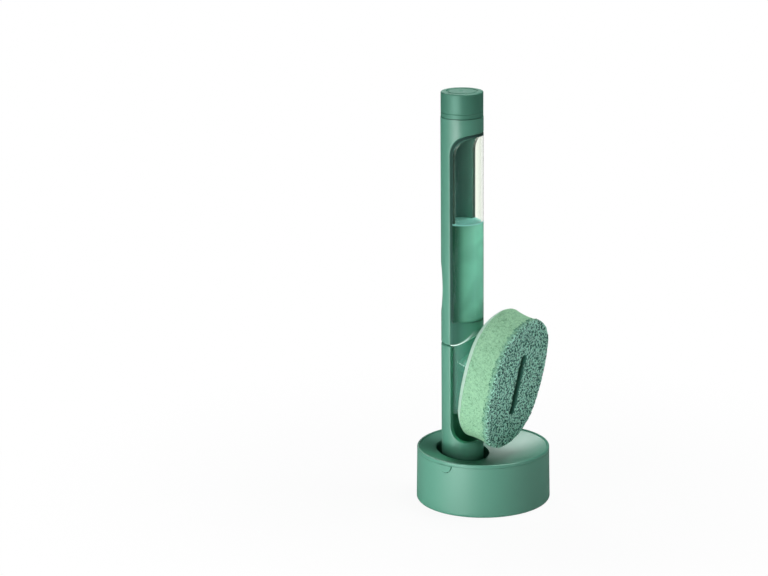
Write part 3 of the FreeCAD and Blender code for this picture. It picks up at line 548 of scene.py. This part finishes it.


# Foam block
# A block of pale green open-cell foam, cut to an oval with a slot for the soap.
# It is bonded to the plate, and its sides are drawn in a little between plate and scrub layer.

# The pores are painted darker by their depth, as painted shade.
FOAM_PALE, FOAM_PORE_SHADE = (0.35, 0.64, 0.41), (0.04, 0.17, 0.085)
FOAM_ROUGHNESS, FOAM_GLOSS = 0.92, 0.2
PATCH_SIZE, PATCH_SPAN = 0.012, 0.07
CELL_SIZE, CELL_STRENGTH, CELL_DEPTH = 0.0006, 0.4, 0.0002
PAD_HALF_LENGTH, PAD_HALF_WIDTH, PAD_END_RADIUS = 0.0522, 0.0352, 0.0332
FOAM_BACK, FOAM_FRONT = 0.0019, 0.0225
FOAM_FLARE, FOAM_WAIST, FOAM_EDGE = 0.0003, 0.0009, 0.0008
SLOT_HALF_LENGTH, SLOT_HALF_WIDTH = 0.025, 0.0033
RING_BEHIND = 0.0013
PORE, PORE_DEPTH, PORE_WALL_SHARE = 0.0011, 0.00045, 0.5
PORE_MEAN, PORE_SPREAD, SPREAD_SCALE = 0.55, 0.45, 0.5
AROUND, FOAM_ROWS, SLOT_ROWS = 900, 62, 12

release = next(joint for joint in frame["joints"] if joint["name"] == "pad_release")
pad_out = Vector(release["axis"]).normalized()
pad_up = Vector((0.0, pad_out.z, -pad_out.y))
pad_across = Vector((1.0, 0.0, 0.0))
ring_low, ring_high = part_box("valve_ring")
pad_centre = (ring_low + ring_high) / 2.0 + pad_out * RING_BEHIND


def quarter_walk(quarter, count):
    """Even steps round four mirrored quarters: the quarter of each, and how far along it lies."""
    quadrant, rest = np.divmod(np.linspace(0.0, 4.0 * quarter, count, endpoint=False), quarter)
    return quadrant, np.where(quadrant % 2 == 1, quarter - rest, rest)


def in_quarters(x, y, quadrant):
    """Points worked out in the first quarter, each mirrored into its own."""
    x = np.where((quadrant == 1) | (quadrant == 2), -x, x)
    return np.stack([x, np.where(quadrant >= 2, -y, y)], axis=1)


def oval_loop(inset, count):
    """Points round the pad's oval, evenly spaced: two round ends and two bowed sides, all tangent."""
    length, width = PAD_HALF_LENGTH - inset, PAD_HALF_WIDTH - inset
    end_radius = PAD_END_RADIUS - inset
    end_centre = length - end_radius
    bow = (width ** 2 + end_centre ** 2 - end_radius ** 2) / (2.0 * (width - end_radius))
    side_turn = math.asin(end_centre / (bow - end_radius))
    side_length, end_length = bow * side_turn, end_radius * (math.pi / 2.0 - side_turn)
    quadrant, rest = quarter_walk(side_length + end_length, count)
    on_side = rest < side_length
    turn = np.where(on_side, rest / bow, side_turn + (rest - side_length) / end_radius)
    radius = np.where(on_side, bow, end_radius)
    x = np.where(on_side, width - bow, 0.0) + radius * np.cos(turn)
    y = np.where(on_side, 0.0, end_centre) + radius * np.sin(turn)
    return in_quarters(x, y, quadrant)


def slot_loop(inset, count):
    """Points round the soap slot, as many as round the oval and in step with them."""
    half_width = SLOT_HALF_WIDTH - inset
    straight = SLOT_HALF_LENGTH - SLOT_HALF_WIDTH
    quadrant, rest = quarter_walk(straight + half_width * math.pi / 2.0, count)
    turn = np.clip((rest - straight) / half_width, 0.0, None)
    x = half_width * np.cos(turn)
    y = np.minimum(rest, straight) + half_width * np.sin(turn)
    return in_quarters(x, y, quadrant)


def on_pad(flat, height):
    """Points of the pad's own plane, raised out of its face, in the part's frame."""
    lift = np.asarray(pad_centre + pad_out * height)
    return lift + flat[:, :1] * np.asarray(pad_across) + flat[:, 1:] * np.asarray(pad_up)


def pitted(piece, pore, depth, name):
    """Press pores into a mesh along its normals, and keep how deep each point lies."""
    mesh = piece.data
    count = len(mesh.vertices)
    points, normals = np.empty(count * 3), np.empty(count * 3)
    mesh.vertices.foreach_get("co", points)
    mesh.vertex_normals.foreach_get("vector", normals)
    points, normals = points.reshape(-1, 3), normals.reshape(-1, 3)
    deep = np.empty(count)
    for index, point in enumerate(points / pore):
        near = noise.voronoi(point)[0]
        wall = min((near[1] - near[0]) / PORE_WALL_SHARE, 1.0)
        deep[index] = wall * (PORE_MEAN + PORE_SPREAD * noise.noise(point * SPREAD_SCALE))
    mesh.vertices.foreach_set("co", (points - normals * (deep * depth)[:, None]).ravel())
    mesh.attributes.new(name, "FLOAT", "POINT").data.foreach_set("value", deep.astype(np.float32))
    mesh.update()


foam_skin, place = blank_material("foam_pale")
# Painted shade: the deeper a point lies in a pore, the darker it is painted.
pore_shade = place.node("Attribute", {"attribute_name": "pore"}, {}, "Fac")
patch = fine_noise(place, PATCH_SIZE, detail=3.0)
cells = place.node("TexVoronoi", {}, {"Vector": place, "Scale": 1.0 / CELL_SIZE}, "Distance")
surface(place, place.node("BsdfPrincipled", {}, {
    "Base Color": pore_shade.between(mottled(patch, FOAM_PALE, 1.0 - PATCH_SPAN, 1.0 + PATCH_SPAN), FOAM_PORE_SHADE),
    "Roughness": FOAM_ROUGHNESS,
    "Specular IOR Level": FOAM_GLOSS,
    "Normal": relief(cells, CELL_STRENGTH, CELL_DEPTH),
}))

loops = []
for share in np.linspace(0.0, 1.0, FOAM_ROWS):
    level = FOAM_BACK + (FOAM_FRONT - FOAM_BACK) * share
    drawn = FOAM_WAIST * (1.0 - (2.0 * share - 1.0) ** 2) - FOAM_FLARE * (1.0 - share)
    edge = max(0.0, 1.0 - (level - FOAM_BACK) / FOAM_EDGE)
    loops.append(on_pad(oval_loop(drawn + FOAM_EDGE * edge ** 2 / 2.0, AROUND), level))
loops += [on_pad(slot_loop(0.0, AROUND), FOAM_FRONT - (FOAM_FRONT - FOAM_BACK) * share)
          for share in np.linspace(0.0, 1.0, SLOT_ROWS)]
foam = from_loops("foam_block", loops, foam_skin)
pitted(foam, PORE, PORE_DEPTH, "pore")
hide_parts("pad_foam")
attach(foam, "pad")


# Scrub layer
# A coarse web of thick curled fibres, dark and light, bonded to the front of the foam.
# The fibres lie on a backing painted dark as the shade between them, with a rounded front edge; along that
# edge they are painted plain dark green and fewer are light, as painted shade.

# Painted shade: the dark backing between the fibres and the plain darker green of the fibres along the edge.
WEB_SHADE, WEB_ROUGHNESS = (0.05, 0.19, 0.14), 0.85
LINT_SIZE, LINT_STRENGTH, LINT_DEPTH, LINT_DARK, LINT_LIGHT = 0.0012, 0.8, 0.0005, 0.6, 1.8
FIBRE_STOPS = ((0.08, (0.012, 0.075, 0.055)), (0.2, (0.54, 0.95, 0.8)))
FIBRE_ROUGHNESS, FIBRE_DULL, FIBRE_GLOSS = 0.55, 0.25, 0.15
FIBRE_EDGE_SHADE, EDGE_LOW, EDGE_HIGH = (0.12, 0.33, 0.22), 0.0237, 0.0268
SHADE_SHARE, FUZZ_SIZE, FUZZ_SHARE = 0.5, 0.0007, 0.6
CLUMP_SIZE, CLUMP_SHARE, CLUMP_MEAN = 0.0022, 4.0, 0.3875
SCRUB_FRONT, SCRUB_EDGE, EDGE_STEPS, FRONT_STEPS = 0.027, 0.002, 7, 26
SIDE_FORWARD, EDGE_FORWARD, LAST_RING_SHARE = (0.05, 0.3, 0.45), (0.5, 0.95), 0.98
SLOT_LIP = 0.0005
FIBRE_SPACING, FIBRE_RADIUS, FIBRE_CURL = 0.00077, 0.00029, 0.0008
FIBRE_SWEEP, FIBRE_LEAN = math.radians(150.0), 0.25
FIBRE_SINK, FIBRE_SMALLEST, FIBRE_LARGEST = 0.0003, 0.7, 1.25
FIBRE_POINTS, FIBRE_SIDES, FIBRE_DENSITY = 5, 4, 2.0e6
FIBRE_SEED, TONE_SEED, TONE_POWER = 7, 3, 2.0

web_skin, place = blank_material("scrub_backing")
lint = fine_noise(place, LINT_SIZE, detail=3.0)
forward = place.node("Attribute", {"attribute_name": "forward"}, {}, "Fac")
surface(place, place.node("BsdfPrincipled", {}, {
    "Base Color": forward.between(FOAM_PALE, mottled(lint, WEB_SHADE, LINT_DARK, LINT_LIGHT)),
    "Roughness": WEB_ROUGHNESS,
    "Normal": relief(lint, LINT_STRENGTH, LINT_DEPTH),
}))

fibre_skin, place = blank_material("scrub_fibre")
shade = place.node("Attribute", {"attribute_name": "shade"}, {}, "Fac")
fuzz = fine_noise(place, FUZZ_SIZE)
clump = place.node("TexVoronoi", {}, {"Vector": place, "Scale": 1.0 / CLUMP_SIZE}, "Distance")
lightness = SHADE_SHARE * shade + FUZZ_SHARE * (fuzz - NOISE_MIDDLE) + CLUMP_SHARE * (clump - CLUMP_MEAN)
speckled = place.node("ValToRGB", {"stops": FIBRE_STOPS}, {"Fac": lightness})
# Along the rounded edge and the sides the fibres are painted plain dark green as shade.
along_pad = place.node("VectorMath", {"operation": "DOT_PRODUCT"}, {0: place, 1: pad_out}, "Value")
on_face = (along_pad - pad_centre.dot(pad_out)).rise(EDGE_LOW, EDGE_HIGH)
surface(place, place.node("BsdfPrincipled", {}, {
    "Base Color": on_face.between(FIBRE_EDGE_SHADE, speckled),
    "Roughness": FIBRE_ROUGHNESS + FIBRE_DULL * fuzz,
    "Specular IOR Level": FIBRE_GLOSS,
}))

side_front = SCRUB_FRONT - SCRUB_EDGE
side = [(0.0, level) for level in np.linspace(FOAM_FRONT, side_front, len(SIDE_FORWARD))]
rounding = [(SCRUB_EDGE * (1.0 - math.cos(turn)), SCRUB_FRONT - SCRUB_EDGE * (1.0 - math.sin(turn)))
            for turn in np.linspace(0.0, math.pi / 2.0, EDGE_STEPS)[1:]]
outer = [(oval_loop(inset, AROUND), level) for inset, level in side + rounding]
slot_edge = slot_loop(-SLOT_LIP, AROUND)
front = [(outer[-1][0] * (1.0 - share) + slot_edge * share, SCRUB_FRONT)
         for share in (*np.linspace(0.0, LAST_RING_SHARE, FRONT_STEPS)[1:], 1.0)]
inner = [(slot_loop(0.0, AROUND), level) for level in (SCRUB_FRONT - SLOT_LIP, FOAM_FRONT)]
rings = [on_pad(flat, level - FIBRE_SINK) for flat, level in outer + front + inner]
web = from_loops("scrub_backing", rings, web_skin)
bare_rows = len(inner) + 1
forward_rows = [*SIDE_FORWARD, *np.linspace(*EDGE_FORWARD, len(rounding)), *[1.0] * len(front + inner)]
grown_rows = [*np.sqrt(forward_rows[:-bare_rows]), *[0.0] * bare_rows]
for label, rows in (("forward", forward_rows), ("grown", grown_rows)):
    values = np.repeat(rows, AROUND).astype(np.float32)
    web.data.attributes.new(label, "FLOAT", "POINT").data.foreach_set("value", values)

fibres = bpy.data.node_groups.new("curled_fibres", "GeometryNodeTree")
fibres.interface.new_socket("Geometry", in_out="OUTPUT", socket_type="NodeSocketGeometry")
inputs = {"Geometry": None, "Spacing": FIBRE_SPACING, "Fibre Radius": FIBRE_RADIUS, "Curl": FIBRE_CURL,
          "Sweep": FIBRE_SWEEP, "Seed": FIBRE_SEED}
for label, value in inputs.items():
    kind = {"Geometry": "Geometry", "Seed": "Int"}.get(label, "Float")
    fibres.interface.new_socket(label, in_out="INPUT", socket_type="NodeSocket" + kind)


def grow(kind, settings, sockets):
    """Add a node to the fibre tree: its settings, then its sockets by name or place."""
    made = fibres.nodes.new(kind)
    for label, value in settings.items():
        setattr(made, label, value)
    for label, value in sockets.items():
        if isinstance(value, bpy.types.NodeSocket):
            fibres.links.new(value, made.inputs[label])
        else:
            made.inputs[label].default_value = value
    return made.outputs


given = grow("NodeGroupInput", {}, {})
grown = grow("GeometryNodeInputNamedAttribute", {"data_type": "FLOAT"}, {"Name": "grown"})
spread = grow("GeometryNodeDistributePointsOnFaces", {"distribute_method": "POISSON"}, {
    "Mesh": given["Geometry"], "Distance Min": given["Spacing"], "Density Max": FIBRE_DENSITY,
    "Density Factor": grown["Attribute"], "Seed": given["Seed"]})
arc = grow("GeometryNodeCurveArc", {"mode": "RADIUS"}, {
    "Resolution": FIBRE_POINTS, "Radius": given["Curl"], "Sweep Angle": given["Sweep"]})
round_section = grow("GeometryNodeCurvePrimitiveCircle", {"mode": "RADIUS"}, {
    "Resolution": FIBRE_SIDES, "Radius": given["Fibre Radius"]})
thick = grow("GeometryNodeCurveToMesh", {}, {
    "Curve": arc["Curve"], "Profile Curve": round_section["Curve"], "Fill Caps": True})
twist = grow("FunctionNodeRandomValue", {"data_type": "FLOAT_VECTOR"}, {
    "Min": (-FIBRE_LEAN, -FIBRE_LEAN, 0.0), "Max": (FIBRE_LEAN, FIBRE_LEAN, 2.0 * math.pi),
    "Seed": given["Seed"]})
lean = grow("FunctionNodeEulerToRotation", {}, {"Euler": twist["Value"]})
stood = grow("FunctionNodeRotateRotation", {"rotation_space": "LOCAL"}, {
    "Rotation": spread["Rotation"], "Rotate By": lean["Rotation"]})
scale = grow("FunctionNodeRandomValue", {"data_type": "FLOAT"}, {
    2: FIBRE_SMALLEST, 3: FIBRE_LARGEST, "Seed": given["Seed"]})
placed = grow("GeometryNodeInstanceOnPoints", {}, {
    "Points": spread["Points"], "Instance": thick["Mesh"], "Rotation": stood["Rotation"], "Scale": scale[1]})
# Towards the sides fewer fibres get light tones, as painted shade.
ahead = grow("GeometryNodeInputNamedAttribute", {"data_type": "FLOAT"}, {"Name": "forward"})
lightest = grow("ShaderNodeMath", {"operation": "POWER"}, {0: ahead["Attribute"], 1: TONE_POWER})
tone = grow("FunctionNodeRandomValue", {"data_type": "FLOAT"}, {
    2: 0.0, 3: lightest["Value"], "Seed": TONE_SEED})
toned = grow("GeometryNodeStoreNamedAttribute", {"data_type": "FLOAT", "domain": "INSTANCE"}, {
    "Geometry": placed["Instances"], "Name": "shade", "Value": tone[1]})
real = grow("GeometryNodeRealizeInstances", {}, {"Geometry": toned["Geometry"]})
smooth = grow("GeometryNodeSetShadeSmooth", {}, {"Geometry": real["Geometry"]})
finished = grow("GeometryNodeSetMaterial", {}, {"Geometry": smooth["Geometry"], "Material": fibre_skin})
grow("NodeGroupOutput", {}, {"Geometry": finished["Geometry"]})

carrier = bpy.data.objects.new("fibre_carrier", web.data)
bpy.context.collection.objects.link(carrier)
modifier = carrier.modifiers.new("fibres", "NODES")
modifier.node_group = fibres
for socket in fibres.interface.items_tree:
    if socket.in_out == "INPUT" and inputs[socket.name] is not None:
        modifier[socket.identifier] = inputs[socket.name]
evaluated = carrier.evaluated_get(bpy.context.evaluated_depsgraph_get())
curls = bpy.data.objects.new("scrub_fibres", bpy.data.meshes.new_from_object(evaluated))
bpy.context.collection.objects.link(curls)
bpy.data.objects.remove(carrier)
for piece in (web, curls):
    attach(piece, "pad")
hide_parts("scrub_layer")


# Floor
# A plain white floor; away from the stand it turns to even white, and it keeps the stand's shadow.
# What satin plastic mirrors of it is dim, so that the walls of the stand keep their depth.

FLOOR_HALF = 9.0
FLOOR_WHITE, FLOOR_DIM = (0.86, 0.87, 0.87), 0.25
SHADOW_REACH, WHITE_REACH, NEAR_WHITE = 0.08, 0.4, 0.93

floor_paint, place = blank_material("floor_white")
far = place.node("VectorMath", {"operation": "LENGTH"}, {0: place}, "Value")
whitened = NEAR_WHITE + (1.0 - NEAR_WHITE) * far.rise(SHADOW_REACH, WHITE_REACH, smooth=True)
looked_at = is_ray(place, "Is Camera Ray").larger(is_ray(place, "Is Transmission Ray"))
plain = place.node("BsdfDiffuse", {}, {"Color": (*FLOOR_WHITE, 1.0)})
dim = place.node("BsdfDiffuse", {}, {"Color": (*shaded(FLOOR_WHITE, FLOOR_DIM), 1.0)})
ground = place.node("MixShader", {}, {0: is_ray(place, "Is Glossy Ray"), 1: plain, 2: dim})
white = place.node("Emission", {}, {"Color": (1.0, 1.0, 1.0, 1.0), "Strength": 1.0})
surface(place, place.node("MixShader", {}, {0: whitened * looked_at, 1: ground, 2: white}))
corners = [(-FLOOR_HALF, -FLOOR_HALF, 0.0), (FLOOR_HALF, -FLOOR_HALF, 0.0),
           (FLOOR_HALF, FLOOR_HALF, 0.0), (-FLOOR_HALF, FLOOR_HALF, 0.0)]
floor_mesh = bpy.data.meshes.new("floor")
floor_mesh.from_pydata(corners, [], [(0, 1, 2, 3)])
floor_mesh.materials.append(floor_paint)
floor = bpy.data.objects.new("floor", floor_mesh)
bpy.context.collection.objects.link(floor)


# Light
# Soft lamps to the left of the camera, a large one overhead and one behind, in a dim room.
# A weak narrow lamp from the right fills the scrub face alone.

CAMERA_TURN = math.radians(-55.5)
ROOM_STRENGTH = 0.02
PAD_AIM_RISE, PAD_BEAM = 0.004, 18.0

to_camera = Vector((math.sin(CAMERA_TURN), -math.cos(CAMERA_TURN), 0.0))
to_left = Vector((to_camera.y, -to_camera.x, 0.0))
middle = (cad_box[0] + cad_box[1]) / 2.0


def soft_lamp(name, place, width, height, power, aim=middle, beam=180.0):
    """A soft panel lamp that faces the middle of the part or another aim, in a beam of some degrees."""
    lamp = bpy.data.lights.new(name, "AREA")
    lamp.shape = "RECTANGLE"
    lamp.size, lamp.size_y = width, height
    lamp.energy = power
    lamp.spread = math.radians(beam)
    panel = bpy.data.objects.new(name, lamp)
    panel.location = place
    panel.rotation_euler = (aim - place).to_track_quat("-Z", "Y").to_euler()
    panel.visible_camera = False
    bpy.context.collection.objects.link(panel)


def round_about(left, reach, rise):
    """A place round the part: degrees to the left of the camera, how far out and how far up."""
    turn = math.radians(left)
    out = to_camera * math.cos(turn) + to_left * math.sin(turn)
    return middle + out * reach + Vector((0.0, 0.0, rise))


soft_lamp("key_panel", round_about(left=33.0, reach=0.5, rise=-0.05), width=0.26, height=0.26, power=1.04)
soft_lamp("low_panel", round_about(left=47.0, reach=0.5, rise=-0.12), width=0.36, height=0.08, power=1.05)
soft_lamp("tall_panel", round_about(left=60.0, reach=1.2, rise=0.1), width=0.4, height=1.0, power=1.5)
soft_lamp("top_panel", round_about(left=-104.0, reach=0.4, rise=1.2), width=0.5, height=0.5, power=11.0)
soft_lamp("back_panel", round_about(left=163.0, reach=1.1, rise=0.8), width=0.5, height=0.5, power=4.4)
soft_lamp("pad_panel", round_about(left=-50.0, reach=0.6, rise=-0.01), width=0.1, height=0.1, power=0.0085,
          aim=pad_centre + Vector((0.0, 0.0, PAD_AIM_RISE)), beam=PAD_BEAM)

room = bpy.data.worlds.new("room")
room.use_nodes = True
room_paint = room.node_tree.nodes["Background"]
room_paint.inputs["Color"].default_value = (1.0, 1.0, 1.0, 1.0)
room_paint.inputs["Strength"].default_value = ROOM_STRENGTH
bpy.context.scene.world = room
bpy.context.scene.view_settings.view_transform = "Standard"


# Camera
# A long lens at the photograph's angle, with the film shifted to the photograph's framing.

CAMERA_PLACE = Vector((-1.5391, -1.0578, 0.65876))
LOOK_DOWN = 0.2589
SENSOR, LENS, SHIFT = 36.0, 121.25, -0.1292

camera = bpy.data.cameras.new("camera")
camera.sensor_width, camera.lens, camera.shift_x = SENSOR, LENS, SHIFT
eye = bpy.data.objects.new("camera", camera)
eye.location = CAMERA_PLACE
gaze = -to_camera * math.cos(LOOK_DOWN) - Vector((0.0, 0.0, math.sin(LOOK_DOWN)))
eye.rotation_euler = gaze.to_track_quat("-Z", "Y").to_euler()
bpy.context.collection.objects.link(eye)
bpy.context.scene.camera = eye
